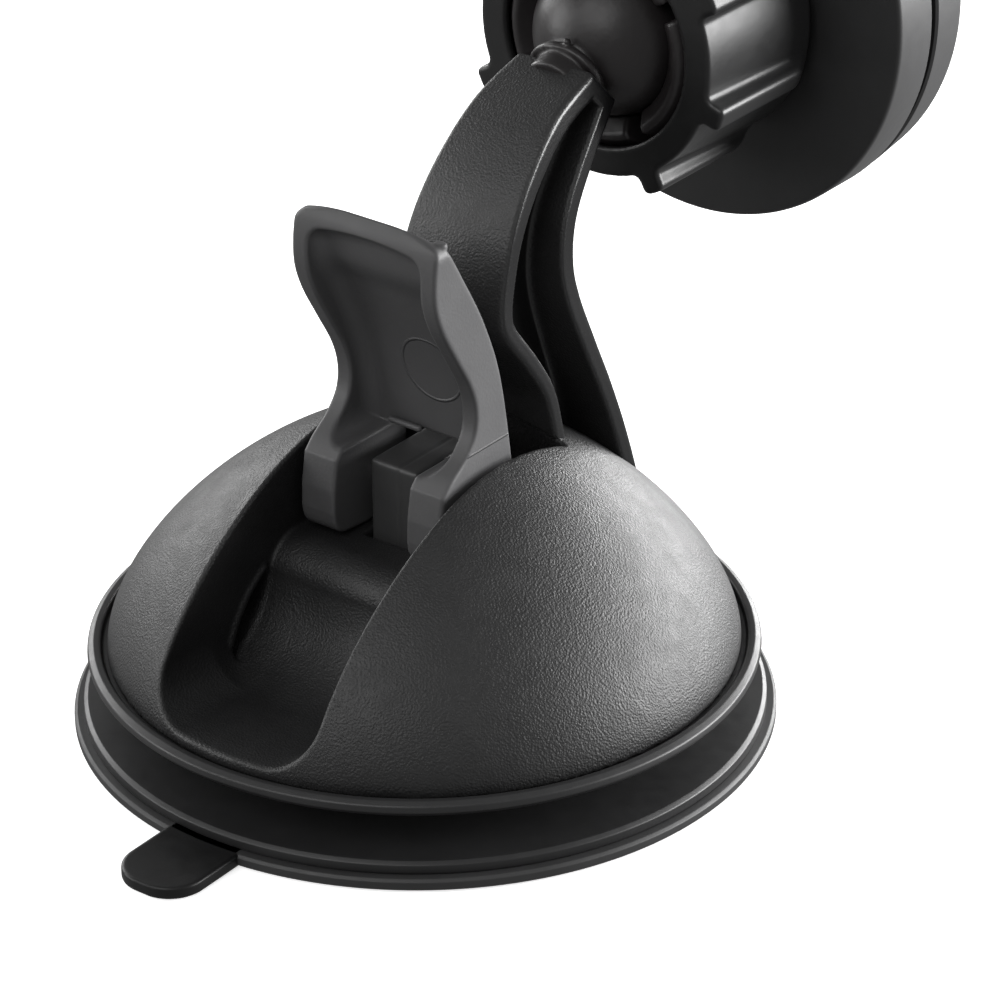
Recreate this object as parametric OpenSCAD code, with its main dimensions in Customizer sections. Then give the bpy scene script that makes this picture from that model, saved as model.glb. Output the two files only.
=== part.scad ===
// Lever-locked suction mount with an arched arm, a ball joint and a round magnetic head.
// Millimetres. Origin: centre of the pad's flat underside. +Z up, lever towards -Y, head towards +Y.

/* [Suction pad] */
// Diameter of the gel pad that grips the dashboard
pad_d = 75; // [73:0.5:80]
// Thickness of the soft gel layer
gel_t = 1.4; // [1:0.1:2]
// Thickness of the stiffer disc's rim
disc_t = 1.4; // [1:0.1:2]
// Width of the pull tab
tab_w = 9.4; // [8:0.2:14]
// How far the pull tab stands out from the pad
tab_len = 9.2; // [6:0.2:14]
// Turn of the tab away from the lever's side, in degrees
tab_turn = 1; // [-10:1:10]

/* [Dome housing] */
// Radius of the dome at its foot
dome_r = 33.6; // [33:0.1:33.8]
// Height of the dome above its foot
dome_h = 25.7; // [25:0.1:27]
// Fullness of the dome's curve, where 2 is an ellipse and less is more pointed
dome_full = 1.53; // [1.4:0.01:2]
// Outer radius of the ring under the dome
ring_r = 35.8; // [35.5:0.1:37]
// Height of the gap under the ring with the lever raised
ring_z = 7.6; // [7.6:0.1:8.4]
// Wall thickness of the dome
dome_wall = 2.2; // [1.6:0.1:2.6]

/* [Lever] */
// Half the width of the lever
lever_hw = 9.3; // [8.5:0.1:9.8]
// Height of the lever's pin above the pad's underside
pin_z = 26; // [25:0.1:27]
// Radius of the lever's pin
pin_r = 1.5; // [1.2:0.1:1.8]
// Angle that the lever folds through, in degrees
lever_fold = 100; // [90:1:102]
// How far the folded lever forces the dome down
cam_lift = 4.4; // [4:0.1:4.4]

/* [Arm and ball] */
// Distance of the ball's centre behind the pad's centre
ball_y = 34.1; // [33:0.1:36]
// Height of the ball's centre
ball_z = 66.2; // [65:0.1:68]
// Radius of the ball
ball_r = 9; // [8.5:0.1:9]
// Thickness of the arm's flanges
flange_t = 2.2; // [1.8:0.1:2.6]
// Half the thickness of the arm's web
web_hw = 2.6; // [2.2:0.1:3]

/* [Head] */
// Radius of the round head at its back
head_r = 25.9; // [25:0.1:28]
// How much narrower the front cover is
front_step = 0.7; // [0:0.1:1.5]
// Radius of the lock nut between its grip lugs
nut_r = 15.3; // [14.8:0.1:15.6]
// Radius of the lock nut over its grip lugs
lug_r = 17.3; // [16.4:0.1:18]
// Number of grip lugs on the lock nut
lug_count = 8; // [6:1:10]
// Number of magnets around the middle one
magnet_count = 6; // [4:1:6]

/* [Hidden] */
$fn = 96;

pad_r = pad_d / 2;
pad_top = gel_t + disc_t;
slop = 0.05;            // gap between fixed neighbours
fit = 0.05;             // running clearance on pins and balls
black = [0.10, 0.10, 0.105];
soft_black = [0.07, 0.07, 0.075];
grey = [0.33, 0.33, 0.34];
steel = [0.72, 0.73, 0.75];

// Raised middle of the pad, and the stem's foot plate set into it
boss_r = 15.5;
boss_top = 3.8;
boss_foot_r = 19;
foot_r = 14;
foot_z = 2;
tab_t = 1.4;
tab_corner = 4;

// Stem block between the lever's ears
block_hx = 3.1;
block_hy = 4.7;
block_top = 30.4;
block_chamfer = 0.7;

// Dome and ring
dome_z = ring_z + 1.6;
seat_z = ring_z + 0.8;
ring_in = 29.9;
groove_w = 0.7;

// Recess in the dome: pocket floor, then a scooped finger well in front of it
rec_hw = 10.3;
floor_gap = 0.1;
cam_h0 = 4.3;
floor_z = pin_z - cam_h0 - floor_gap;
rec_back = 11.2;
well_r = 10.4;
well_y = -23;
well_z = 20.2;
well_low = well_z - well_r;
well_corner = 5;
lip_y = -6;
lip_turn = -7;
rec_front = -45;
rec_top = 60;

// Cam: its distance from the pin grows evenly with the lever's angle
cam_rate = cam_lift / (lever_fold * PI / 180);
ear_in = 4.8;
ear_top = 32.4;
dish_hw = 7.3;

lever_top = 59.9;

// Outlines in the Y-Z plane, smoothed by spline() below
lever_front = [[-7.3, lever_top], [-8.3, 58], [-8.8, 55.2], [-8.7, 52.3], [-7.6, 49.2], [-5.4, 45.3],
    [-3.3, 41.6], [-2.4, 38.6], [-2.7, 36], [-4.3, 33.9], [-6.6, 32.2], [-8, 30.8]];
lever_back = [[3.7, 29.4], [3.3, 32.5], [2.5, 37.5], [1.6, 41.7], [0.3, 45.5], [-1.6, 49.7],
    [-4.1, 54.1], [-5.9, 57.8]];
lever_corner = 1.4;
lever_arch_r = 27;
dish_top = 57.8;
dish_corner = 2;
dish_floor = [[-7.3, dish_top], [-6.3, 53.6], [-4, 50], [-1.9, 45.4], [-0.4, 41.2], [0.5, 37],
    [1, ear_top]];
arm_front = [[22, 65.5], [16.3, 63.5], [10.6, 58.8], [7, 54], [4.9, 49], [4, 45.4], [4.5, 42.9],
    [7.3, 38.7], [9.5, 34.5], [10.2, 29.5]];
arm_back = [[25, 20], [23, 27.5], [21.3, 32.8], [19.4, 38], [17.6, 43.4], [17.1, 47.5],
    [18.2, 51.9], [21.2, 56.2], [26, 61.5]];
arm_low = 17;
// Half width of the arm at a few heights
arm_width = [[10, arm_low], [9.9, 22], [9.2, 30], [8.1, 39], [7.1, 47], [6.4, 55], [5.8, 63],
    [5.6, 68]];
screw_r = 1.1;
screw_head_r = 1.9;
screw_head_t = 1.8;
arm_screw_y = [15.6, 20.8];
arm_post_r = 3;
arm_boss_z = [24.6, 20.4];
arm_screw_top = [36, 29.2];

// Neck from the arm's end into the ball
neck_tilt = 15;
neck_r = 3.8;
tenon_r = 2;
tenon_len = 15.2;
neck_len = 11.2;

// Distances along the head's axis, measured from the ball's centre towards the face
nut_back = -4.35;
nut_front = 13.4;
nut_mouth_r = 11.7;
nut_lip = 0.8;
nut_cone = 1.3;
nut_bore_r = 12.8;
socket_r = 12.5;
socket_tip = -4.2;
socket_tip_r = 10.8;
socket_taper = 2;
mouth_r = 9.8;
mouth_t = 0.8;
finger_slot = 2;
finger_root = 5;
cap_pocket_r = 11.05;
pad_in = 9.05;
pad_out = 10;
pad_cut = 7.9;
cup_in = 10.05;
cup_out = 11;
cup_cut = 8.6;
back_s = 14.8;
seam_s = 21;
seam_t = 1.2;
front_s = 28.7;
face_s = 29.3;
cover_wall = 2;
yoke_r = 18.5;
yoke_t = 1.2;
magnet_r = 4.5;
magnet_t = 3;
magnet_ring = 12.2;
head_screw_ring = 21.6;
head_screw_count = 4;
face_r = 23.6;
back_round = 0.5;
front_round = 1.6;
lug_w = 2.4;
lug_turn = 17;

// ---------- curves ----------

// Catmull-Rom point between b and c, with neighbours a and d
function spline_pt(a, b, c, d, t) =
    0.5 * (2 * b + (c - a) * t + (2 * a - 5 * b + 4 * c - d) * t * t
    + (3 * b - a - 3 * c + d) * t * t * t);

// Smooth line through the points, with n steps between each two
function spline(p, n = 4) =
    let (m = len(p) - 1)
    concat([for (i = [0 : m - 1], k = [0 : n - 1])
        spline_pt(p[max(i - 1, 0)], p[i], p[i + 1], p[min(i + 2, m)], k / n)], [p[m]]);

// Radius of the dome at a height above its foot, offset outwards by grow
function dome_at(h, grow = 0) =
    (dome_r + grow) * pow(max(0, 1 - pow(h / (dome_h + grow), dome_full)), 1 / dome_full);

// Outline of the dome from its foot to its top
function dome_line(grow = 0, n = 22) =
    [for (i = [0 : n]) let (h = (dome_h + grow) * sin(90 * i / n)) [dome_at(h, grow), dome_z + h]];

// Point of the cam that meets the pocket floor when the lever stands at angle a
function cam_pt(a) =
    let (p = cam_h0 + cam_rate * a * PI / 180)
    [-p * sin(a) - cam_rate * cos(a), pin_z - p * cos(a) + cam_rate * sin(a)];

// Arc points around a centre
function arc(c, r, a0, a1, n = 12) =
    [for (i = [0 : n]) let (a = a0 + (a1 - a0) * i / n) [c[0] + r * cos(a), c[1] + r * sin(a)]];

// ---------- helpers ----------

// Extrude an outline drawn in Y-Z over the width from -hw to hw along X
module across(hw) {
    rotate([90, 0, 90])
        translate([0, 0, -hw])
            linear_extrude(2 * hw)
                children();
}

// Extrude an outline drawn in X-Z along Y, from y0 to y1
module along(y0, y1) {
    translate([0, y1, 0])
        rotate([90, 0, 0])
            linear_extrude(y1 - y0)
                children();
}

// Place the head's own axis (local +Z) at the ball's centre, pointing along +Y
module at_head() {
    translate([0, ball_y, ball_z])
        rotate([-90, 0, 0])
            children();
}

// Disc from s0 to s1 along the local axis
module disc(r, s0, s1) {
    translate([0, 0, s0])
        cylinder(r = r, h = s1 - s0);
}

// Solid dome, grown outwards by grow and cut flat at the height low
module dome_solid(grow = 0, low = seat_z) {
    foot = dome_r + grow;
    rotate_extrude()
        polygon(concat([[0, low], [foot, low]], dome_line(grow), [[0, dome_z + dome_h + grow]]));
}

// Soft lip where the pocket's floor rolls over into the well
function well_start(g) = [well_y + (well_r + g) * cos(lip_turn),
    well_z + (well_r + g) * sin(lip_turn)];
function well_lip(g) = [for (a = [0:15:75])
    [lip_y + (well_start(g)[0] - lip_y) * sin(a),
    well_start(g)[1] + (floor_z - g - well_start(g)[1]) * cos(a)]];

// Side view of the recess, grown outwards by g
module recess_side(g = 0) {
    polygon(concat(
        [[rec_back + g, rec_top], [rec_back + g, floor_z - g]],
        well_lip(g),
        arc([well_y, well_z], well_r + g, lip_turn, -90),
        [[rec_front, well_low - g], [rec_front, rec_top]]));
}

// End view of the recess, with rounded bottom corners
module recess_end(g = 0) {
    hw = rec_hw + g;
    r = well_corner + g;
    low = well_low - g;
    translate([-hw, low + r])
        square([2 * hw, rec_top - low - r]);
    translate([-hw + r, low])
        square([2 * (hw - r), r + 1]);
    for (sx = [-1, 1])
        translate([sx * (hw - r), low + r])
            circle(r = r);
}

module recess(g = 0) {
    intersection() {
        across(rec_hw + g) recess_side(g);
        along(rec_front, rec_back + g) recess_end(g);
    }
}

// ---------- suction pad ----------

module gel_pad() {
    color(soft_black) {
        rotate_extrude()
            polygon([[0, 0], [pad_r - 0.4, 0], [pad_r, 0.4], [pad_r, gel_t - 0.3],
                [pad_r - 0.3, gel_t], [0, gel_t]]);
        rotate([0, 0, tab_turn])
            difference() {
                translate([0, -pad_r - tab_len, 0])
                    tab();
                cylinder(r = pad_r - 1, h = 20, center = true);
            }
    }
}

// Pull tab with round corners, from its free end back into the pad
module tab() {
    hw = tab_w / 2;
    linear_extrude(tab_t) {
        translate([-hw, tab_corner])
            square([tab_w, tab_len]);
        translate([-hw + tab_corner, 0])
            square([tab_w - 2 * tab_corner, tab_corner]);
        for (sx = [-1, 1])
            translate([sx * (hw - tab_corner), tab_corner])
                circle(r = tab_corner);
    }
}

module suction_disc() {
    rim = pad_r - 1.05;
    color(soft_black)
        difference() {
            rotate_extrude()
                polygon([[0, gel_t], [rim, gel_t], [rim, pad_top - 0.4], [rim - 0.4, pad_top],
                    [boss_foot_r, pad_top], [boss_r, boss_top], [0, boss_top]]);
            disc(foot_r + slop, foot_z, boss_top + 1);
        }
}

module pull_stem() {
    color(black)
        difference() {
            union() {
                disc(foot_r, foot_z, boss_top);
                translate([0, 0, foot_z])
                    linear_extrude(block_top - foot_z)
                        square([2 * block_hx, 2 * block_hy], center = true);
                // Gussets from the block to the foot plate
                across(1.1)
                    polygon([[-foot_r + 2, boss_top - 1], [foot_r - 2, boss_top - 1],
                        [block_hy - 0.5, 11], [-block_hy + 0.5, 11]]);
            }
            // Chamfered top edges
            for (sy = [-1, 1])
                translate([0, sy * block_hy, block_top])
                    rotate([45, 0, 0])
                        cube([20, block_chamfer, block_chamfer], center = true);
            translate([-20, 0, pin_z])
                rotate([0, 90, 0])
                    cylinder(r = pin_r, h = 40);
        }
}

module lever_pin() {
    color(steel)
        translate([-lever_hw + 0.3, 0, pin_z])
            rotate([0, 90, 0])
                cylinder(r = pin_r, h = 2 * lever_hw - 0.6);
}

// ---------- lever ----------

// Side view of the lever with its cam
module lever_side() {
    cam = [for (i = [20 : -1 : 0]) cam_pt(lever_fold * i / 20)];
    heel = arc([0, pin_z], cam_h0, -90, 35);
    polygon(concat(spline(lever_front), cam, heel, spline(lever_back)));
}

// Hollow of the thumb plate, open to the front
module dish_side() {
    polygon(concat([[-14, dish_top]], spline(dish_floor), [[-14, ear_top]]));
}

// Front view with an arched top edge and round corners: the lever's and its dish's
module arched(hw, top, r) {
    base = top - lever_arch_r;
    rise = sqrt(pow(lever_arch_r - r, 2) - pow(hw - r, 2));
    edge = atan2(rise, hw - r);
    polygon(concat([[-hw, 0], [hw, 0]],
        arc([hw - r, base + rise], r, 0, edge, 5),
        arc([0, base], lever_arch_r, edge + 2, 178 - edge, 10),
        arc([-hw + r, base + rise], r, 180 - edge, 180, 5)));
}

module cam_lever() {
    color(grey)
        difference() {
            intersection() {
                across(lever_hw)
                    lever_side();
                along(-20, 20)
                    arched(lever_hw, lever_top, lever_corner);
            }
            intersection() {
                across(lever_hw)
                    dish_side();
                along(-20, 20)
                    arched(dish_hw, dish_top, dish_corner);
            }
            // Gap between the ears, clear of the stem block
            across(ear_in)
                translate([-20, 0])
                    square([40, ear_top + 0.4]);
            translate([-20, 0, pin_z])
                rotate([0, 90, 0])
                    cylinder(r = pin_r + fit, h = 40);
        }
}

// ---------- dome ----------

// Screw posts under the roof that carry the arm
module arm_posts() {
    for (i = [0, 1])
        translate([0, arm_screw_y[i], arm_boss_z[i]])
            cylinder(r = arm_post_r, h = 12);
}

module arm_screw_holes(r) {
    for (i = [0, 1])
        translate([0, arm_screw_y[i], 10])
            cylinder(r = r, h = arm_screw_top[i] - 10);
}

module dome_housing() {
    color(black)
        difference() {
            union() {
                difference() {
                    dome_solid();
                    dome_solid(-dome_wall, seat_z - 1);
                }
                intersection() {
                    dome_solid();
                    union() {
                        recess(dome_wall);
                        arm_posts();
                    }
                }
            }
            recess();
            // Way through the floor for the stem
            translate([-block_hx - 0.5, -block_hy - 0.5, 0])
                cube([2 * block_hx + 1, 2 * block_hy + 1, 40]);
            arm_screw_holes(screw_r + 0.1);
        }
}

module base_ring() {
    lip = dome_r + groove_w;
    color(black)
        rotate_extrude()
            polygon(concat(
                [[ring_in, ring_z], [ring_r - 0.7, ring_z]],
                arc([ring_r - 0.8, ring_z + 0.8], 0.8, -70, 90, 8),
                [[lip, dome_z], [lip, seat_z], [ring_in, seat_z]]));
}

// ---------- arm ----------

function arm_side_line() = concat(spline(arm_front, 6), [[10.2, arm_low], [25, arm_low]],
    spline(arm_back, 6));

// Arm's side view less its flanges, which leaves the web's outline
module web_side() {
    offset(delta = -flange_t)
        polygon(arm_side_line());
}

module arm() {
    right = spline(arm_width, 4);
    left = [for (i = [len(right) - 1 : -1 : 0]) [-right[i][0], right[i][1]]];
    color(black)
        difference() {
            intersection() {
                across(12)
                    polygon(arm_side_line());
                along(0, 40)
                    polygon(concat(right, left));
            }
            for (sx = [-1, 1])
                translate([sx * (web_hw + 10), 0, 0])
                    across(10)
                        web_side();
            dome_solid(0.02, 0);
            arm_screw_holes(screw_r);
            neck_axis()
                disc(tenon_r, 0, tenon_len + 0.3);
        }
}

module arm_screws() {
    color(steel)
        for (i = [0, 1])
            translate([0, arm_screw_y[i], arm_boss_z[i]]) {
                translate([0, 0, -screw_head_t])
                    cylinder(r = screw_head_r, h = screw_head_t);
                cylinder(r = screw_r, h = arm_screw_top[i] - arm_boss_z[i] - 0.5);
            }
}

// Local +Z runs from the ball's centre down into the arm's end
module neck_axis() {
    translate([0, ball_y, ball_z])
        rotate([90 + neck_tilt, 0, 0])
            children();
}

module ball_stud() {
    color(black) {
        translate([0, ball_y, ball_z])
            sphere(r = ball_r);
        difference() {
            neck_axis()
                disc(neck_r, 0, neck_len);
            across(10)
                polygon(arm_side_line());
        }
        neck_axis()
            disc(tenon_r, 0, tenon_len);
    }
}

// ---------- head ----------

module friction_pad() {
    color([0.2, 0.2, 0.21])
        at_head()
            intersection() {
                difference() {
                    sphere(r = pad_out);
                    sphere(r = pad_in);
                }
                disc(20, pad_cut, 20);
            }
}

module pressure_cup() {
    color([0.75, 0.75, 0.72])
        at_head()
            intersection() {
                difference() {
                    sphere(r = cup_out);
                    sphere(r = cup_in);
                }
                disc(20, cup_cut, 20);
            }
}

// Places on a ring around the head's axis
module ring_of(count, r, turn = 0) {
    for (i = [0 : count - 1])
        rotate([0, 0, turn + i * 360 / count])
            translate([r, 0, 0])
                children();
}

// Outer body of the back cover, with a small round at its back rim
module back_body() {
    r = back_round;
    rotate_extrude()
        polygon(concat([[0, back_s]], arc([head_r - r, back_s + r], r, -90, 0, 4),
            [[head_r, seam_s], [0, seam_s]]));
}

// Outer body of the front cover, narrowing to a round front rim
module front_body(s0) {
    r = front_round;
    fr = head_r - front_step;
    rotate_extrude()
        polygon(concat([[0, s0], [head_r - 0.2, s0], [head_r - 0.2, s0 + 0.6]],
            arc([fr - r, front_s - r], r, 0, 90, 6), [[0, front_s]]));
}

module head_back_cover() {
    inner = back_s + cover_wall;
    color(black)
        at_head()
            difference() {
                union() {
                    difference() {
                        back_body();
                        disc(head_r - cover_wall, inner, seam_s + 1);
                    }
                    // Socket with its tapered tip
                    rotate_extrude()
                        polygon([[0, socket_tip], [socket_tip_r, socket_tip],
                            [socket_r, socket_tip + socket_taper], [socket_r, inner - 0.5],
                            [0, inner - 0.5]]);
                    ring_of(head_screw_count, head_screw_ring, 45)
                        disc(2, inner - 0.5, seam_s);
                }
                sphere(r = ball_r + fit + 0.03);
                // Step at the socket's mouth
                disc(mouth_r, socket_tip - 1, socket_tip + mouth_t);
                intersection() {
                    sphere(r = cap_pocket_r);
                    disc(20, finger_root, 20);
                }
                // Slots that part the four gripping fingers
                rotate([0, 0, -30])
                    for (a = [0, 90])
                        rotate([0, 0, a])
                            translate([-20, -finger_slot / 2, -10])
                                cube([40, finger_slot, 10 + finger_root]);
                ring_of(head_screw_count, head_screw_ring, 45)
                    disc(1, inner, seam_s + 1);
            }
}

module steel_yoke() {
    s = back_s + cover_wall;
    color(steel)
        at_head()
            disc(yoke_r, s, s + yoke_t);
}

// The ring of magnets and the one in the middle
module magnet_places() {
    children();
    ring_of(magnet_count, magnet_ring)
        children();
}

module magnets() {
    s = back_s + cover_wall + yoke_t;
    color([0.8, 0.8, 0.82])
        at_head()
            magnet_places()
                disc(magnet_r, s, s + magnet_t - slop);
}

module magnet_tray() {
    s = back_s + cover_wall + yoke_t;
    color(soft_black)
        at_head()
            difference() {
                union() {
                    disc(yoke_r - 0.2, s, seam_s + 0.5);
                    disc(head_r - 1, seam_s, seam_s + seam_t);
                }
                magnet_places()
                    disc(magnet_r + slop, s - 1, s + magnet_t);
                ring_of(head_screw_count, head_screw_ring, 45)
                    disc(1.3, s, front_s);
            }
}

module front_cover() {
    s = seam_s + seam_t;
    color(black)
        at_head()
            difference() {
                front_body(s);
                disc(face_r + slop, front_s - 1, front_s + 1);
                ring_of(head_screw_count, head_screw_ring, 45) {
                    disc(1.3, s - 1, front_s);
                    disc(2.1, front_s - 2.7, front_s);
                }
            }
}

module head_screws() {
    head_s = front_s - 2.65;
    color(steel)
        at_head()
            ring_of(head_screw_count, head_screw_ring, 45) {
                disc(1, back_s + cover_wall + 0.4, head_s + 0.5);
                disc(1.9, head_s, head_s + 1.4);
            }
}

module face_pad() {
    color([0.13, 0.13, 0.135])
        at_head()
            disc(face_r, front_s - 1, face_s);
}

module lock_nut() {
    color(black)
        at_head()
            difference() {
                union() {
                    translate([0, 0, nut_back])
                        cylinder(r1 = nut_r - 0.4, r2 = nut_r + 0.3, h = nut_front - nut_back);
                    intersection() {
                        ring_of(lug_count, lug_r - 3, lug_turn)
                            translate([-3, -lug_w / 2, nut_back])
                                cube([8, lug_w, nut_front - nut_back]);
                        disc(lug_r, nut_back, nut_front);
                    }
                }
                // Bore, with a thin lip and a cone that closes on the fingers
                rotate_extrude()
                    polygon([[0, nut_back - 1], [nut_mouth_r, nut_back - 1],
                        [nut_mouth_r, nut_back + nut_lip],
                        [nut_bore_r, nut_back + nut_lip + nut_cone],
                        [nut_bore_r, nut_front + 1], [0, nut_front + 1]]);
            }
}

gel_pad();
suction_disc();
pull_stem();
lever_pin();
cam_lever();
dome_housing();
base_ring();
arm();
arm_screws();
ball_stud();
friction_pad();
pressure_cup();
head_back_cover();
steel_yoke();
magnets();
magnet_tray();
head_screws();
front_cover();
face_pad();
lock_nut();
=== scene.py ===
import math

import bpy
import numpy as np
from mathutils import Matrix, Vector


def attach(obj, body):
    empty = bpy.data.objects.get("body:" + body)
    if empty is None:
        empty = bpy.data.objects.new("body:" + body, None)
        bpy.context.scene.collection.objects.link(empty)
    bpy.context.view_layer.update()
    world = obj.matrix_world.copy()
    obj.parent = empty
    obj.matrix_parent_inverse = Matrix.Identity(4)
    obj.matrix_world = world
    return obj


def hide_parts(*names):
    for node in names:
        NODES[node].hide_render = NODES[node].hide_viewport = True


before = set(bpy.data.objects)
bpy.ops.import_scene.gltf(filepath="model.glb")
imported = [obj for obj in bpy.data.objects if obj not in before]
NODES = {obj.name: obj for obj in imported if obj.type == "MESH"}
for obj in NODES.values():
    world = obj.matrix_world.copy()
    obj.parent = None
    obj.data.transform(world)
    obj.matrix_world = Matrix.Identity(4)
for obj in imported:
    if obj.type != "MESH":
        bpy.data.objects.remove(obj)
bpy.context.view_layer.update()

MM = 0.001

# ---------------------------------------------------------------- sizes, in millimetres
# HW is half a width, R a radius, T a thickness, and X, Y and Z are places in the frame
PAD_R, GEL_T, PAD_TOP = 37.5, 1.4, 2.8
BOSS_R, BOSS_FOOT_R, BOSS_TOP = 15.5, 19.0, 3.8
TAB_HW, TAB_CORNER, TAB_END, TAB_TURN = 4.7, 4.0, -46.7, 1.0
STEM_HX, STEM_HY, STEM_FOOT, STEM_TOP, STEM_FOOT_R = 3.1, 4.7, 2.4, 30.4, 14.0
DOME_R, DOME_H, DOME_FULL, DOME_WALL = 33.6, 25.7, 1.53, 2.2
RING_R, RING_Z, RING_IN = 35.8, 7.6, 29.9
DOME_Z, SEAT_Z = RING_Z + 1.6, RING_Z + 0.8
PIN_Z, PIN_R = 26.0, 1.5
CAM_H0, FLOOR_GAP = 4.3, 0.1
FLOOR_Z = PIN_Z - CAM_H0 - FLOOR_GAP
REC_HW, REC_BACK, REC_FRONT, REC_TOP = 10.3, 11.2, -45, 60
WELL_Y, WELL_Z, WELL_R = -23.0, 20.2, 10.4
LIP_Y, LIP_TURN = -8.6, -12.0
LEVER_HW, DISH_HW, EAR_IN, EAR_TOP = 9.3, 7.3, 4.8, 32.4
LEVER_TOP, DISH_TOP, ARCH_R = 59.9, 57.8, 27.0
ARM_FOOT_Z, ARM_FRONT_Y, ARM_BACK_Y, ARM_WEB_HW = 17, 10.2, 25, 2.6
BALL = np.array([0.0, 34.1, 66.2])
BALL_R, NECK_TILT = 9.0, 15.0
# Along the head's axis, from the ball's centre towards the face pad
SOCKET_TIP, NUT_BACK, NUT_FRONT = -4.2, -4.35, 13.4
HEAD_BACK, GROOVE_LOW, GROOVE_HIGH, PAD_SEAT, HEAD_FRONT, FACE = 14.8, 21.0, 22.2, 27.7, 28.7, 29.3
HEAD_R, FACE_R = 25.9, 23.6
NUT_R, NUT_BORE_R, NUT_MOUTH_R, LUG_R, LUGS = 14.9, 12.8, 11.7, 17.2, 8
# Degrees, and the point in metres that the lamps face
CAMERA_AZIMUTH, CAMERA_ELEVATION, CAMERA_ROLL = 38.0, 27.9, -0.52
LIT_POINT = Vector((0, 0.015, 0.035))


# ---------------------------------------------------------------- curves
def spline(points, steps=8):
    """Catmull-Rom line through the points."""
    p = np.asarray(points, float)
    out = []
    last = len(p) - 1
    for i in range(last):
        a, b, c, d = p[max(i - 1, 0)], p[i], p[i + 1], p[min(i + 2, last)]
        for k in range(steps):
            t = k / steps
            out.append(0.5 * (2 * b + (c - a) * t + (2 * a - 5 * b + 4 * c - d) * t * t
                              + (3 * b - a - 3 * c + d) * t ** 3))
    out.append(p[-1])
    return np.array(out)


def arc(cx, cy, r, a0, a1, n=16):
    """Points on an arc about (cx, cy), from angle a0 to a1 in degrees."""
    t = np.radians(np.linspace(a0, a1, n + 1))
    return np.stack([cx + r * np.cos(t), cy + r * np.sin(t)], 1)


def dome_line(grow=0.0, n=60):
    """Side view of the dome from its foot to its top, as (radius, height)."""
    s = np.radians(np.linspace(0, 90, n + 1))
    h = (DOME_H + grow) * np.sin(s)
    r = (DOME_R + grow) * np.clip(1 - (h / (DOME_H + grow)) ** DOME_FULL, 0, 1) ** (1 / DOME_FULL)
    return np.stack([r, DOME_Z + h], 1)


def polygon_distance(x, y, points):
    """Signed distance to a closed polygon, negative inside."""
    x, y = np.broadcast_arrays(x, y)
    best = np.full(x.shape, 1e9)
    inside = np.zeros(x.shape, bool)
    for (ax, ay), (bx, by) in zip(points, np.roll(points, -1, 0)):
        ex, ey = bx - ax, by - ay
        size = ex * ex + ey * ey
        if size < 1e-10:
            continue
        wx, wy = x - ax, y - ay
        t = np.clip((wx * ex + wy * ey) / size, 0, 1)
        best = np.minimum(best, (wx - t * ex) ** 2 + (wy - t * ey) ** 2)
        if abs(ey) > 1e-12:
            inside ^= ((ay > y) != (by > y)) & (x < ex * (y - ay) / ey + ax)
    d = np.sqrt(best)
    return np.where(inside, -d, d)


class Outline:
    """Distance to a closed outline, kept as a table and read back between its points."""

    def __init__(self, points, step=0.1, margin=7.0):
        points = np.asarray(points, float)
        self.lo = points.min(0) - margin
        self.step = step
        n = np.ceil((points.max(0) + margin - self.lo) / step).astype(int) + 2
        u = self.lo[0] + step * np.arange(n[0])
        v = self.lo[1] + step * np.arange(n[1])
        self.table = polygon_distance(u[:, None], v[None, :], points)

    def __call__(self, u, v):
        a = np.clip((u - self.lo[0]) / self.step, 0, self.table.shape[0] - 1.001)
        b = np.clip((v - self.lo[1]) / self.step, 0, self.table.shape[1] - 1.001)
        i, j = a.astype(int), b.astype(int)
        a, b = a - i, b - j
        t = self.table
        return ((t[i, j] * (1 - a) + t[i + 1, j] * a) * (1 - b)
                + (t[i, j + 1] * (1 - a) + t[i + 1, j + 1] * a) * b)


# ---------------------------------------------------------------- solids as distances
def length(*parts):
    """Distance from the origin, out of its parts along square axes."""
    return np.sqrt(sum(p * p for p in parts))


def both(a, b, r=0.0):
    """Where a and b are both solid, with the new edge rounded by r."""
    if np.isscalar(r) and r <= 0:
        return np.maximum(a, b)
    u, v = np.maximum(r + a, 0), np.maximum(r + b, 0)
    return np.minimum(-r, np.maximum(a, b)) + length(u, v)


def cut(a, b, r=0.0):
    """a with b taken away, and the new edge rounded by r."""
    return both(a, -b, r)


def join(a, b, r=0.0):
    """a and b together, with a fillet of r between them."""
    if r <= 0:
        return np.minimum(a, b)
    u, v = np.maximum(r - a, 0), np.maximum(r - b, 0)
    return np.maximum(r, np.minimum(a, b)) - length(u, v)


def box(x, y, z, lo, hi, r=0.0):
    """Box from lo to hi, with its edges rounded by r."""
    q = [np.abs(c - (l + h) / 2) - (h - l) / 2 + r for c, l, h in zip((x, y, z), lo, hi)]
    out = length(*(np.maximum(c, 0) for c in q))
    return out + np.minimum(np.maximum(np.maximum(q[0], q[1]), q[2]), 0) - r


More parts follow.
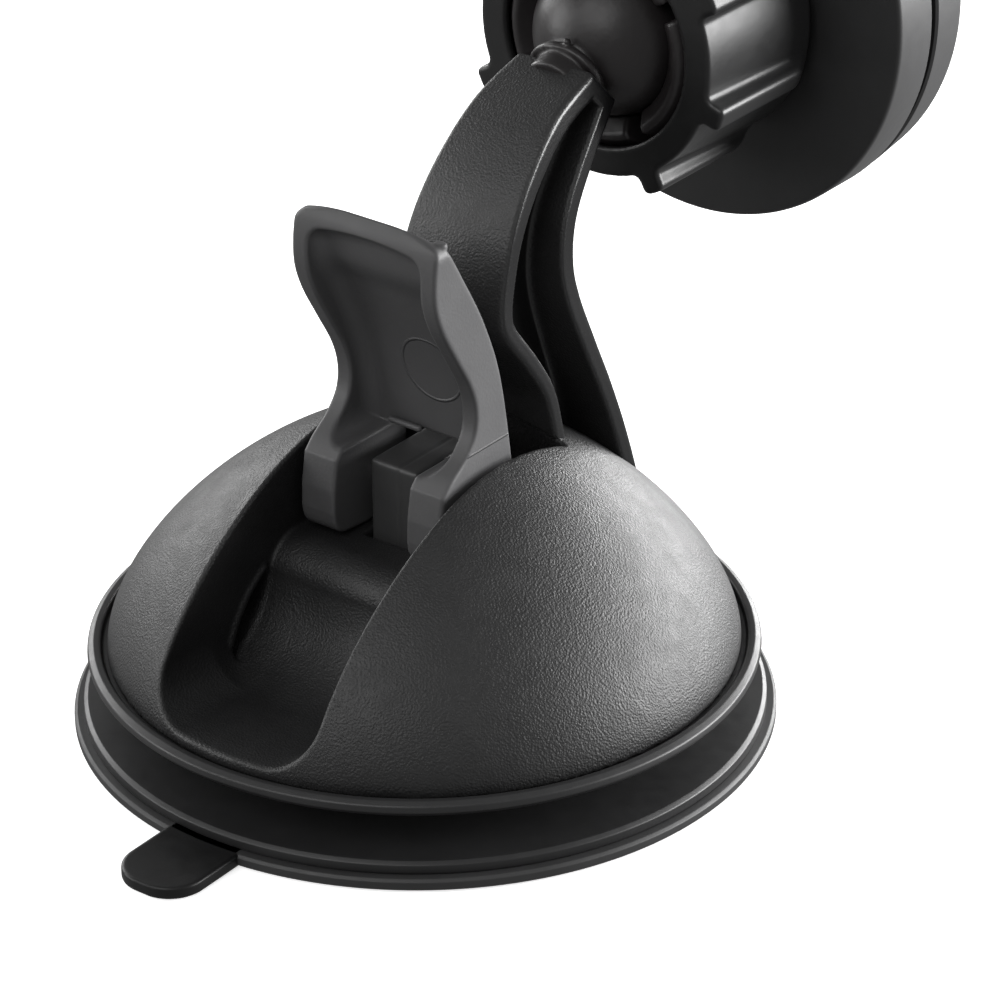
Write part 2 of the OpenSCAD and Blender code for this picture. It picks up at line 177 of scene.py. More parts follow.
def nets(d):
    """Quads along the zero surface of the distances d, with points in grid steps."""
    s = d < 0
    count = sum(s[i:s.shape[0] - 1 + i, j:s.shape[1] - 1 + j, k:s.shape[2] - 1 + k].astype(np.int8)
                for i in (0, 1) for j in (0, 1) for k in (0, 1))
    active = (count > 0) & (count < 8)
    cells = np.argwhere(active)
    index = np.full(active.shape, -1, np.int64)
    index[tuple(cells.T)] = np.arange(len(cells))
    total = np.zeros((len(cells), 3))
    hits = np.zeros(len(cells))
    for axis in range(3):
        step = np.eye(3, dtype=int)[axis]
        others = [a for a in range(3) if a != axis]
        for i in (0, 1):
            for j in (0, 1):
                off = np.zeros(3, int)
                off[others[0]], off[others[1]] = i, j
                p = cells + off
                q = p + step
                a, b = d[tuple(p.T)], d[tuple(q.T)]
                m = (a < 0) != (b < 0)
                t = a[m] / (a[m] - b[m])
                total[m] += p[m] + step * t[:, None]
                hits[m] += 1
    verts = total / hits[:, None]
    quads = []
    for axis in range(3):
        u, v = (axis + 1) % 3, (axis + 2) % 3
        a = np.take(s, range(s.shape[axis] - 1), axis)
        b = np.take(s, range(1, s.shape[axis]), axis)
        p = np.argwhere(a != b)
        pu, pv = p[:, u], p[:, v]
        p = p[(pu > 0) & (pv > 0) & (pu < s.shape[u] - 1) & (pv < s.shape[v] - 1)]
        eu, ev = np.eye(3, dtype=int)[u], np.eye(3, dtype=int)[v]
        ring = [index[tuple((p - eu - ev).T)], index[tuple((p - ev).T)],
                index[tuple(p.T)], index[tuple((p - eu).T)]]
        quad = np.stack(ring, 1)
        flip = ~s[tuple(p.T)]
        quad[flip] = quad[flip][:, ::-1]
        quads.append(quad)
    return verts, np.concatenate(quads)


def settle(f, verts, quads, h, rounds=3):
    """Evens out the points and puts them back on the surface f = 0."""
    e = np.concatenate([quads[:, [i, (i + 1) % 4]] for i in range(4)])
    n = len(verts)
    degree = np.maximum(np.bincount(e[:, 0], minlength=n) + np.bincount(e[:, 1], minlength=n), 1)
    eps = 0.06
    for k in range(rounds + 1):
        if k < rounds:
            mean = np.empty_like(verts)
            for c in range(3):
                mean[:, c] = (np.bincount(e[:, 0], verts[e[:, 1], c], n)
                              + np.bincount(e[:, 1], verts[e[:, 0], c], n)) / degree
            verts = verts + 0.5 * (mean - verts)
        for _ in range(2):
            x, y, z = verts.T
            d = f(x, y, z)
            g = np.stack([f(x + eps, y, z) - f(x - eps, y, z),
                          f(x, y + eps, z) - f(x, y - eps, z),
                          f(x, y, z + eps) - f(x, y, z - eps)], 1) / (2 * eps)
            size = np.maximum((g * g).sum(1), 0.25)
            verts = verts - g * np.clip(d / size, -0.5 * h, 0.5 * h)[:, None]
    return verts


def make_mesh(name, verts, faces):
    """A mesh object from points in millimetres and faces of one size."""
    verts = np.asarray(verts, float) * MM
    faces = np.asarray(faces, np.int64)
    k = faces.shape[1]
    mesh = bpy.data.meshes.new(name)
    mesh.vertices.add(len(verts))
    mesh.vertices.foreach_set("co", verts.astype(np.float32).ravel())
    mesh.loops.add(faces.size)
    mesh.loops.foreach_set("vertex_index", faces.astype(np.int32).ravel())
    mesh.polygons.add(len(faces))
    mesh.polygons.foreach_set("loop_start", (np.arange(len(faces)) * k).astype(np.int32))
    mesh.polygons.foreach_set("loop_total", np.full(len(faces), k, np.int32))
    mesh.polygons.foreach_set("use_smooth", np.ones(len(faces), bool))
    mesh.update(calc_edges=True)
    mesh.validate()
    obj = bpy.data.objects.new(name, mesh)
    bpy.context.scene.collection.objects.link(obj)
    return obj


def ticks(lo, hi, h, fine=None):
    """Grid places from lo to hi, h apart, and closer inside fine = (low, high, step)."""
    if fine is None:
        return np.linspace(lo, hi, int(math.ceil((hi - lo) / h)) + 1)
    a, b, step = fine
    parts = [ticks(u, v, w) for u, v, w in ((lo, a, h), (a, b, step), (b, hi, h)) if v > u]
    return np.unique(np.concatenate(parts).round(9))


def solid(name, f, lo, hi, h, fine=(None, None, None)):
    """A mesh object on the surface f = 0, inside the box from lo to hi."""
    x, y, z = (ticks(lo[i], hi[i], h, fine[i]) for i in range(3))
    d = f(x[:, None, None], y[None, :, None], z[None, None, :])
    d = np.ascontiguousarray(np.broadcast_to(d, (len(x), len(y), len(z))))
    verts, quads = nets(d)
    verts = np.stack([np.interp(verts[:, i], np.arange(len(t)), t)
                      for i, t in enumerate((x, y, z))], 1)
    return make_mesh(name, settle(f, verts, quads, h), quads)


def finish_piece(obj, body, material, slot, *replaced):
    """Gives a piece its material and its body, and hides the CAD nodes it stands for; slot is not
    used.
    """
    obj.data.materials.append(material)
    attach(obj, body)
    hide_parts(*replaced)
    return obj


# ---------------------------------------------------------------- materials
class Nodes:
    """Short calls for building one material out of nodes, with sizes in millimetres."""

    def __init__(self, name, colour, rough, **shader):
        self.mat = bpy.data.materials.new(name)
        self.mat.use_nodes = True
        self.tree = self.mat.node_tree
        self.shader = next(n for n in self.tree.nodes if n.type == "BSDF_PRINCIPLED")
        self.mat.diffuse_color = (*colour, 1)
        self.shader.inputs["Base Color"].default_value = (*colour, 1)
        self.shader.inputs["Roughness"].default_value = rough
        for key, value in shader.items():
            self.shader.inputs[key.replace("_", " ")].default_value = value
        self.place = self.add("ShaderNodeTexCoord").outputs["Object"]

    def add(self, kind, **values):
        """A new node with its own settings."""
        node = self.tree.nodes.new(kind)
        for key, value in values.items():
            setattr(node, key, value)
        return node

    def link(self, a, b):
        self.tree.links.new(a, b)

    def put(self, socket, value):
        """A number or another node's output, into a socket."""
        if isinstance(value, (int, float)):
            socket.default_value = value
        else:
            self.link(value, socket)

    def feed(self, socket, value):
        """Another node's output, into one of the shader's sockets."""
        self.link(value, self.shader.inputs[socket])

    def source(self, socket):
        """What feeds one of the shader's sockets so far."""
        return self.shader.inputs[socket].links[0].from_socket

    def noise(self, size_mm, detail=3.0, rough=0.55):
        """Cloudy noise from 0 to 1."""
        n = self.add("ShaderNodeTexNoise")
        self.link(self.place, n.inputs["Vector"])
        n.inputs["Scale"].default_value = 1000.0 / size_mm
        n.inputs["Detail"].default_value = detail
        n.inputs["Roughness"].default_value = rough
        return n.outputs["Fac"]

    def cells(self, size_mm, feature="SMOOTH_F1"):
        """Pebbles: distance to the nearest of many scattered points."""
        n = self.add("ShaderNodeTexVoronoi", feature=feature)
        self.link(self.place, n.inputs["Vector"])
        n.inputs["Scale"].default_value = 1000.0 / size_mm
        return n.outputs["Distance"]

    def ramp(self, value, a, b, lo=0.0, hi=1.0):
        """lo where value is a and below, up to hi where it is b and above."""
        n = self.add("ShaderNodeMapRange")
        self.link(value, n.inputs["Value"])
        for key, v in (("From Min", a), ("From Max", b), ("To Min", lo), ("To Max", hi)):
            n.inputs[key].default_value = v
        return n.outputs["Result"]

    def math(self, op, a, b=0.0):
        n = self.add("ShaderNodeMath", operation=op)
        self.put(n.inputs[0], a)
        self.put(n.inputs[1], b)
        return n.outputs[0]

    def mix(self, fac, a, b):
        """Colour a where fac is 0 and colour b where it is 1."""
        n = self.add("ShaderNodeMix", data_type="RGBA")
        self.put(n.inputs["Factor"], fac)
        for socket, value in ((n.inputs[6], a), (n.inputs[7], b)):
            if isinstance(value, (tuple, list)):
                socket.default_value = (*value, 1) if len(value) == 3 else value
            else:
                self.link(value, socket)
        return n.outputs[2]

    def axis(self, which):
        """One coordinate in the piece's own axes, in metres."""
        n = self.add("ShaderNodeSeparateXYZ")
        self.link(self.place, n.inputs[0])
        return n.outputs["XYZ".index(which)]

    def normal(self, which):
        """One part of the surface's own normal, in the piece's axes."""
        n = self.add("ShaderNodeSeparateXYZ")
        self.link(self.add("ShaderNodeTexCoord").outputs["Normal"], n.inputs[0])
        return n.outputs["XYZ".index(which)]

    def mottle(self, colour, share, cloud_mm, lift=0.001):
        """Base colour that drifts by a share of itself, in clouds of the given size."""
        light = tuple(min(1, c * (1 + share) + lift) for c in colour)
        dark = tuple(c * (1 - share) for c in colour)
        cloud = self.ramp(self.noise(cloud_mm, 3.0), 0.3, 0.7)
        self.feed("Base Color", self.mix(cloud, dark, light))

    def bump(self, height, depth_mm, strength=1.0, after=None):
        """Relief of the given depth, over what another bump has already done."""
        n = self.add("ShaderNodeBump")
        n.inputs["Distance"].default_value = depth_mm * MM
        self.put(n.inputs["Strength"], strength)
        self.link(height, n.inputs["Height"])
        if after is not None:
            self.link(after, n.inputs["Normal"])
        self.feed("Normal", n.outputs["Normal"])


def moulded(name, colour, rough, grain_mm=0.45, grain_depth=0.02, mottle=0.12, specular=0.5):
    """Spark-eroded moulded plastic: fine pebbled grain, cloudy tone, faint rubbed spots."""
    m = Nodes(name, colour, rough)
    m.shader.inputs["Specular IOR Level"].default_value = specular
    m.mottle(colour, mottle, 9.0)
    m.feed("Roughness", m.ramp(m.noise(2.5, 4.0), 0.35, 0.75, rough - 0.04, rough + 0.06))
    fine = m.math("MULTIPLY", m.noise(grain_mm * 0.7, 2.0), 0.35)
    m.bump(m.math("ADD", m.cells(grain_mm), fine), grain_depth)
    return m


def smooth_plastic(name, colour, rough, wave=0.004, mottle=0.08, specular=0.5):
    """Plastic from a polished tool: faint flow marks, dust and a little uneven gloss."""
    m = Nodes(name, colour, rough)
    m.shader.inputs["Specular IOR Level"].default_value = specular
    m.mottle(colour, mottle, 7.0)
    m.feed("Roughness", m.ramp(m.noise(1.6, 4.0), 0.3, 0.75, rough - 0.03, rough + 0.05))
    m.bump(m.noise(0.5, 3.0), wave)
    return m


def metal(name, colour, rough, lines=0.3):
    """Plated metal with faint drawn lines and a cloudy tone."""
    m = Nodes(name, colour, rough, Metallic=1.0)
    streak = m.noise(lines, 3.0)
    m.feed("Roughness", m.ramp(streak, 0.3, 0.7, rough - 0.05, rough + 0.1))
    m.feed("Base Color", m.mix(m.ramp(m.noise(3.0), 0.3, 0.7),
                               tuple(c * 0.85 for c in colour), colour))
    m.bump(streak, 0.003)
    return m


def arm_plastic():
    """Grained across the arm's front and back, smooth on its sides, with painted shade making the
    sides' colour darker.
    """
    m = moulded("arm_plastic", (0.019, 0.019, 0.0193), 0.44, 0.23, 0.056)
    # Painted shade: the side faces, picked by their normal, take a darker base colour; their
    # smoother finish and weaker grain below are real.
    side = m.ramp(m.math("ABSOLUTE", m.normal("X")), 0.72, 0.9)
    m.feed("Base Color", m.mix(side, m.source("Base Color"), (0.006, 0.006, 0.0063)))
    grained = m.math("MULTIPLY", m.source("Roughness"), m.math("SUBTRACT", 1.0, side))
    m.feed("Roughness", m.math("ADD", grained, m.math("MULTIPLY", side, 0.24)))
    m.link(m.ramp(side, 0, 1, 1, 0.15), m.source("Normal").node.inputs["Strength"])
    return m


def painted_rim_light(m, rim):
    """Painted light: a lighter colour on a round piece's rim than on the flat faces across its
    axis, which is Y.
    """
    flat = m.ramp(m.math("ABSOLUTE", m.normal("Y")), 0.5, 0.9)
    m.feed("Base Color", m.mix(flat, rim, m.source("Base Color")))
    return m


def lever_plastic():
    """Satin grey plastic, with painted light making its sides a lighter colour, and an ejector
    ring and a parting line.
    """
    m = moulded("lever_grey", (0.062, 0.0615, 0.063), 0.5, 0.3, 0.012, 0.05)
    # Painted light: side faces, picked by their normal, take a lighter colour.
    side = m.ramp(m.math("ABSOLUTE", m.normal("X")), 0.35, 0.8)
    m.feed("Base Color", m.mix(side, m.source("Base Color"), (0.086, 0.0855, 0.0875)))
    ring_x, ring_z, ring_r, line_z = 1.7 * MM, 40.3 * MM, 3.75 * MM, 34.0 * MM
    x, z = m.axis("X"), m.axis("Z")
    u, v = m.math("SUBTRACT", x, ring_x), m.math("SUBTRACT", z, ring_z)
    radius = m.math("SQRT", m.math("ADD", m.math("MULTIPLY", u, u), m.math("MULTIPLY", v, v)))
    ring = m.math("ABSOLUTE", m.math("SUBTRACT", radius, ring_r))
    line = m.math("ABSOLUTE", m.math("SUBTRACT", z, line_z))
    outer = m.math("GREATER_THAN", m.math("ABSOLUTE", x), (LEVER_HW - 0.05) * MM)
    mark = m.ramp(ring, 0.05 * MM, 0.2 * MM, 1, 0)
    seam = m.math("MULTIPLY", m.ramp(line, 0.04 * MM, 0.16 * MM, 1, 0), outer)
    m.bump(m.math("ADD", mark, seam), 0.12, after=m.source("Normal"))
    return m


DOME_MAT = moulded("dome_plastic", (0.0115, 0.0115, 0.0118), 0.49, 0.22, 0.062)
ARM_MAT = arm_plastic()
SIDE_MAT = smooth_plastic("smooth_black", (0.009, 0.009, 0.0094), 0.34)
RING_MAT = smooth_plastic("ring_black", (0.018, 0.018, 0.0185), 0.42, 0.008)
LEVER_MAT = lever_plastic()
BLOCK_MAT = smooth_plastic("stem_black", (0.034, 0.034, 0.0345), 0.42, 0.006)
BALL_MAT = moulded("ball_plastic", (0.015, 0.013, 0.0134), 0.40, 0.6, 0.014)
# The nut's and the head's rims take a painted highlight, a lighter colour than their flat faces.
NUT_MAT = painted_rim_light(smooth_plastic("nut_black", (0.007, 0.007, 0.0072), 0.38, 0.008),
                   (0.019, 0.019, 0.0194))
HEAD_MAT = painted_rim_light(smooth_plastic("head_black", (0.022, 0.022, 0.0225), 0.44, 0.006),
                    (0.065, 0.065, 0.066))
PAD_MAT = smooth_plastic("pad_black", (0.014, 0.014, 0.0144), 0.42, 0.006)
GEL_MAT = smooth_plastic("gel_edge", (0.026, 0.026, 0.0265), 0.50, 0.008)
TAB_MAT = smooth_plastic("gel_tab", (0.006, 0.006, 0.0062), 0.42, 0.008, specular=0.35)
RUBBER_MAT = moulded("face_rubber", (0.012, 0.012, 0.012), 0.75, 0.35, 0.02)
STEEL_MAT = metal("bright_steel", (0.60, 0.60, 0.62), 0.28)
MAGNET_MAT = metal("nickel", (0.66, 0.64, 0.60), 0.18)
SEAL_MAT = moulded("cup_plastic", (0.55, 0.55, 0.52), 0.5, 0.5, 0.01)


# ---------------------------------------------------------------- turned pieces
def lathe(name, profile, segments=192, place=None):
    """A closed turned piece: profile is (radius, height) from the axis round to the axis."""
    profile = np.asarray(profile, float)
    t = np.linspace(0, 2 * np.pi, segments, endpoint=False)
    closed = profile[0, 0] > 1e-6
    n = len(profile)
    verts, rows = [], []
    for r, z in profile:
        if r < 1e-6:
            rows.append([len(verts)] * segments)
            verts.append((0, 0, z))
        else:
            rows.append(list(range(len(verts), len(verts) + segments)))
            verts += [(r * math.cos(a), r * math.sin(a), z) for a in t]
    faces = []
    for i in range(n if closed else n - 1):
        a, b = rows[i], rows[(i + 1) % n]
        for k in range(segments):
            m = (k + 1) % segments
            face = []
            for v in (a[k], a[m], b[m], b[k]):
                if v not in face:
                    face.append(v)
            if len(face) > 2:
                faces.append(face)
    pts = np.array(verts)
    if place is not None:
        pts = place(pts)
    mesh = bpy.data.meshes.new(name)
    mesh.from_pydata((pts * MM).tolist(), [], faces)
    mesh.polygons.foreach_set("use_smooth", np.ones(len(mesh.polygons), bool))
    mesh.update()
    mesh.validate()
    obj = bpy.data.objects.new(name, mesh)
    bpy.context.scene.collection.objects.link(obj)
    mesh.set_sharp_from_angle(angle=math.radians(32))
    return obj


def rounded(points, default=0.3, radii=None, n=6):
    """The line with each inner corner rounded by default, or by its own entry in radii."""
    p = np.asarray(points, float)
    radii = radii or {}
    out = [p[0]]
    for i in range(1, len(p) - 1):
        r = radii.get(i, default)
        a, b, c = p[i - 1], p[i], p[i + 1]
        u, v = a - b, c - b
        lu, lv = np.linalg.norm(u), np.linalg.norm(v)
        u, v = u / lu, v / lv
        turn = math.acos(np.clip(u @ v, -1, 1))
        if r <= 0 or abs(turn - math.pi) < 0.03:
            out.append(b)
            continue
        reach = min(r / math.tan(turn / 2), 0.45 * lu, 0.45 * lv)
        r = reach * math.tan(turn / 2)
        centre = b + (u + v) / np.linalg.norm(u + v) * (r / math.sin(turn / 2))
        s, e = b + u * reach - centre, b + v * reach - centre
        a0, a1 = math.atan2(s[1], s[0]), math.atan2(e[1], e[0])
        while a1 - a0 > math.pi:
            a1 -= 2 * math.pi
        while a1 - a0 < -math.pi:
            a1 += 2 * math.pi
        for k in range(n + 1):
            t = a0 + (a1 - a0) * k / n
            out.append(centre + r * np.array([math.cos(t), math.sin(t)]))
    out.append(p[-1])
    return np.array(out)


def head_place(pts):
    """Turned pieces of the head: local height becomes distance along +Y from the ball."""
    return np.stack([pts[:, 0], pts[:, 2], -pts[:, 1]], 1) + BALL


# ---------------------------------------------------------------- suction pad
def build_pad():
    """Stiff disc, and the gel layer under it with its pull tab."""
    disc_r = PAD_R - 1.05
    disc = lathe("suction_disc_body", rounded(
        [(0, GEL_T), (disc_r, GEL_T), (disc_r, PAD_TOP - 0.35), (disc_r - 0.45, PAD_TOP),
         (BOSS_FOOT_R, PAD_TOP), (BOSS_R, BOSS_TOP), (0, BOSS_TOP)], 0.25, {4: 2.0, 5: 2.0}))
    finish_piece(disc, "base", PAD_MAT.mat, "soft_black", "suction_disc")
    gel = lathe("gel_pad_body", rounded(
        [(0, 0), (PAD_R - 0.35, 0), (PAD_R, 0.35), (PAD_R, GEL_T - 0.3), (PAD_R - 0.3, GEL_T),
         (0, GEL_T)], 0.22))
    finish_piece(gel, "base", GEL_MAT.mat, "gel", "gel_pad")

    turn, root = math.radians(TAB_TURN), -34.0

    def tab(x, y, z):
        u = x * math.cos(turn) + y * math.sin(turn)
        v = -x * math.sin(turn) + y * math.cos(turn)
        qx = np.abs(u) - TAB_HW + TAB_CORNER
        qy = np.maximum(TAB_END + TAB_CORNER - v, v - root)
        flat = length(np.maximum(qx, 0), np.maximum(qy, 0))
        flat = flat + np.minimum(np.maximum(qx, qy), 0) - TAB_CORNER
        slab = np.abs(z - GEL_T / 2) - GEL_T / 2
        return both(flat, slab, 0.3)

    piece = solid("pull_tab", tab, (-7, -48, -0.6), (7, -33, 2.0), 0.2)
    finish_piece(piece, "base", TAB_MAT.mat, "gel", "gel_pad")


def build_stem():
    """Block between the lever's ears, split by a seam, on its foot plate."""

    def stem(x, y, z):
        block = box(x, y, z, (-STEM_HX, -STEM_HY, STEM_FOOT), (STEM_HX, STEM_HY, STEM_TOP), 0.45)
        seam = np.maximum(np.abs(x - 0.8) - 0.09, -(block + 0.16))
        block = cut(block, seam, 0.05)
        foot = both(length(x, y) - STEM_FOOT_R, np.abs(z - 2.9) - 0.9, 0.3)
        # Two sloping ribs from the block down to the foot plate
        slope = z - 11 + (np.abs(y) - 4.2) * 0.9
        rib = np.maximum(np.abs(x) - 1.1, np.maximum(slope, STEM_FOOT + 0.1 - z))
        rib = np.maximum(rib, np.abs(y) - STEM_FOOT_R + 2)
        whole = join(join(block, rib, 0.6), foot, 0.6)
        pin = length(y, z - PIN_Z) - PIN_R + 0.02
        return cut(whole, pin, 0.15)

    piece = solid("stem_block", stem, (-14.6, -14.6, 1.5), (14.6, 14.6, 31.0), 0.26)
    finish_piece(piece, "base", BLOCK_MAT.mat, "black_plastic", "pull_stem")


# ---------------------------------------------------------------- lever
def arched(hw, top, r):
    """Front view of the lever, or of its hollow: arched top edge and round corners."""
    base = top - ARCH_R
    rise = math.sqrt((ARCH_R - r) ** 2 - (hw - r) ** 2)
    edge = math.degrees(math.atan2(rise, hw - r))
    return Outline(np.concatenate([
        [(-hw, 10), (hw, 10)], arc(hw - r, base + rise, r, 0, edge, 8),
        arc(0, base, ARCH_R, edge, 180 - edge, 24),
        arc(-hw + r, base + rise, r, 180 - edge, 180, 8)]))


def build_lever():
    """Thumb lever: a dished plate on two square-fronted ears, with the pin's hole through."""
    front = spline([(-7.4, 59.5), (-8.3, 58), (-8.8, 55.2), (-8.7, 52.3), (-7.6, 49.2),
                    (-5.4, 45.3), (-3.3, 41.6), (-2.4, 38.6), (-2.7, 36), (-4.3, 33.9),
                    (-6.6, 32.2), (-8, 30.8)])
    back = spline([(3.7, 29.4), (3.3, 32.5), (2.5, 37.5), (1.6, 41.7), (0.3, 45.5),
                   (-1.6, 49.7), (-4.1, 54.1), (-5.9, 57.2)])
    # Flat ear front with a round corner, as moulded
    ear = np.concatenate([[(-8.15, 30), (-8.6, 27.4), (-8.7, 24.8)],
                          arc(-6.3, 24.3, 2.3, 190, 262, 8), [(-3.4, PIN_Z - CAM_H0)]])
    heel = arc(0, PIN_Z, CAM_H0, -90, 35, 24)
    side = Outline(np.concatenate([front, ear, heel, back]))
    dish_floor = spline([(-7.3, DISH_TOP + 0.6), (-6.3, 53.6), (-4, 50), (-1.9, 45.4),
                         (-0.4, 41.2), (0.5, 37), (1, EAR_TOP - 0.6)])
    dish = Outline(np.concatenate([[(-14, DISH_TOP + 0.6)], dish_floor, [(-14, EAR_TOP - 0.6)]]))
    width = arched(LEVER_HW, LEVER_TOP, 1.4)
    hollow_front = arched(DISH_HW, DISH_TOP, 2.0)

    def lever(x, y, z):
        body = both(side(y, z), width(x, z), 0.4)
        hollow = both(dish(y, z), hollow_front(x, z), 2.0)
        body = cut(body, hollow, 0.3)
        gap = both(np.abs(x) - EAR_IN, z - EAR_TOP + 0.1, 0.7)
        body = cut(body, gap, 0.35)
        # Raised bead across the back edge of the hollow, over the stem block
        bead = length(y - 0.2, z - EAR_TOP - 0.25) - 0.35
        body = join(body, both(bead, np.abs(x + 2.3) - 2.2, 0.3), 0.3)
        # Gate scar on the top right corner
        scar = length(x - 8.3, (y + 6.6) * 1.2, z - 58.3) - 0.75
        body = join(body, np.maximum(scar, z - 58.75), 0.2)
        hole = length(y, z - PIN_Z) - PIN_R - 0.05
        return cut(body, hole, 0.2)

    piece = solid("lever_body", lever, (-9.8, -9.8, 20.5), (9.8, 5.2, 60.4), 0.21)
    finish_piece(piece, "lever", LEVER_MAT.mat, "grey_plastic", "cam_lever")


# ---------------------------------------------------------------- dome, arm and ball
def recess_outline(grow=0.0):
    """Side view of the recess: pocket floor, soft lip, round well."""
    r, floor = WELL_R + grow, FLOOR_Z - grow
    y0, z0 = arc(WELL_Y, WELL_Z, r, LIP_TURN, LIP_TURN, 1)[0]
    t = np.radians(np.linspace(0, 84, 15))
    lip = np.stack([LIP_Y + (y0 - LIP_Y) * np.sin(t), z0 + (floor - z0) * np.cos(t)], 1)
    return np.concatenate([[(REC_BACK + grow, REC_TOP), (REC_BACK + grow, floor)], lip,
                           arc(WELL_Y, WELL_Z, r, LIP_TURN, -90, 30),
                           [(REC_FRONT, WELL_Z - r), (REC_FRONT, REC_TOP)]])


def dome_outline(grow=0.0, low=SEAT_Z):
    """Side view of the whole dome, closed along its foot at height low."""
    line = dome_line(grow)
    right = np.concatenate([[(DOME_R + grow, low)], line])
    left = right[:-1][::-1] * [-1, 1]
    return np.concatenate([right, left])


DOME_OUT = Outline(dome_outline())


def bulging_arc(top, low, bulge):
    """Centre, radius and half length of an arc that bulges out between two points."""
    chord = low - top
    half = np.linalg.norm(chord) / 2
    r = (half * half + bulge * bulge) / (2 * bulge)
    out = np.array([chord[1], -chord[0]]) / (2 * half)
    return (top + low) / 2 - out * (r - bulge), r, half


def build_dome():
    """Dome shell with its lined recess, the stem's window and the opening in the well."""
    inner = Outline(dome_outline(-DOME_WALL, SEAT_Z - 3))
    pocket = Outline(recess_outline())
    liner = Outline(recess_outline(DOME_WALL))
    # Lens-shaped opening in the left wall, between the well's curve and a flatter one
    lens_c, lens_r, half = bulging_arc(np.array([-13.0, 18.9]), np.array([-19.2, 11.6]), 1.0)

    def dome(x, y, z):
        radius = length(x, y)
        outer = DOME_OUT(radius, z)
        # Square corners in the pocket, wide round ones in the well
        corner = 0.4 + 4.6 * np.clip((-17.5 - y) / 5.0, 0, 1)
        hollow = both(pocket(y, z), np.abs(x) - REC_HW, corner)
        lining = both(liner(y, z), np.abs(x) - REC_HW - DOME_WALL, corner + 1.5)
        body = cut(outer, cut(inner(radius, z), lining, 0.8), 0.3)
        body = cut(body, hollow, 0.42)
        window = np.maximum(np.abs(x) - STEM_HX - 0.5, np.abs(y) - STEM_HY - 0.5)
        body = cut(body, np.maximum(window, 15 - z), 0.3)
        arch = length(y - lens_c[0], z - lens_c[1]) - lens_r
        lens = np.maximum(length(y - WELL_Y, z - WELL_Z) - WELL_R + 0.15, arch)
        bead = length(arch - 0.5, x + REC_HW) - 0.38
        ends = length(y + 16.1, z - 15.3) - half
        body = join(body, both(bead, ends, 0.3), 0.25)
        return cut(body, np.maximum(lens, np.abs(x + REC_HW + 1.0) - 1.9), 0.2)

    piece = solid("dome_body", dome, (-34.4, -34.4, SEAT_Z - 0.8), (34.4, 34.4, 36.0), 0.5,
                  ((-13.0, 13.0, 0.29), (-34.0, 12.0, 0.31), (8.0, 35.9, 0.31)))
    finish_piece(piece, "housing", DOME_MAT.mat, "textured_black", "dome_housing")


def build_ring():
    """Ring under the dome, with a groove between the two."""
    ring = lathe("base_ring_body", rounded(
        [(RING_IN, SEAT_Z - 0.05), (RING_IN, RING_Z), (RING_R - 0.5, RING_Z),
         (RING_R, RING_Z + 0.6), (RING_R - 0.1, RING_Z + 1.25), (RING_R - 0.7, DOME_Z),
         (DOME_R + 0.75, DOME_Z - 0.05), (DOME_R + 0.6, SEAT_Z), (RING_IN, SEAT_Z - 0.05)],
        0.35, {1: 0.2})[:-1])
    finish_piece(ring, "housing", RING_MAT.mat, "black_plastic", "base_ring")


def build_arm():
    """Arched arm: a crowned front and a flat back, with a hollow down each side."""
    front = spline([(23.2, 66.1), (16.3, 63.5), (10.6, 58.8), (7, 54), (4.9, 49), (4, 45.4),
                    (4.5, 42.9), (7.3, 38.7), (9.5, 34.5), (10.2, 29.5)])
    back = spline([(25, 20), (23, 27.5), (21.3, 32.8), (19.4, 38), (17.6, 43.4), (17.1, 47.5),
                   (18.2, 51.9), (21.2, 56.2), (26.6, 62.2)])
    side = Outline(np.concatenate([
        front, [(ARM_FRONT_Y, ARM_FOOT_Z), (ARM_BACK_Y, ARM_FOOT_Z)], back]))
    half = spline([(10, ARM_FOOT_Z), (9.9, 22), (9.2, 30), (8.1, 39), (7.1, 47), (6.4, 55),
                   (5.6, 62), (4.6, 68)])
    width = Outline(np.concatenate([half, half[::-1] * [-1, 1]]))

    def arm(x, y, z):
        crown = 0.011 * x * x * np.clip((22 - y) / 12, 0, 1)
        body = both(side(y - crown, z), width(x, z), 0.55)
        pocket = both(side(y - 0.2, z) + 2.3, ARM_WEB_HW - np.abs(x), 0.7)
        body = cut(body, pocket, 0.35)
        return cut(body, DOME_OUT(length(x, y), z) + 0.25)

    piece = solid("arm_body", arm, (-10.6, 2.8, 17.5), (10.6, 27.5, 67.0), 0.24)
    finish_piece(piece, "housing", ARM_MAT.mat, "textured_black", "arm")


def build_ball():
    """Ball on a tilted neck, with the collar that sits on the arm's end."""
    neck_r, neck_mid, neck_half = 3.5, 6.5, 5.5
    collar_at, collar_half, collar_hx, collar_hy = 9.2, 0.5, 4.7, 4.2
    tilt = math.radians(90 + NECK_TILT)
    axis = np.array([0, -math.sin(tilt), math.cos(tilt)])
    across = np.array([0, math.cos(tilt), math.sin(tilt)])

    def stud(x, y, z):
        dy, dz = y - BALL[1], z - BALL[2]
        ball = length(x, dy, dz) - BALL_R
        t = dy * axis[1] + dz * axis[2]
        w = dy * across[1] + dz * across[2]
        neck = both(length(x, w) - neck_r, np.abs(t - neck_mid) - neck_half, 0.3)
        collar = (length(x / collar_hx, w / collar_hy) - 1) * 4.4
        collar = both(collar, np.abs(t - collar_at) - collar_half, 0.3)
        flash = length(x - 0.6, w - 4.4, t - 8.8) - 0.4
        return join(join(join(ball, neck, 0.5), collar, 0.3), flash, 0.2)

    piece = solid("ball_body", stud, BALL - [9.6, 13.5, 10.5], BALL + 9.6, 0.3)
    finish_piece(piece, "housing", BALL_MAT.mat, "black_plastic", "ball_stud")


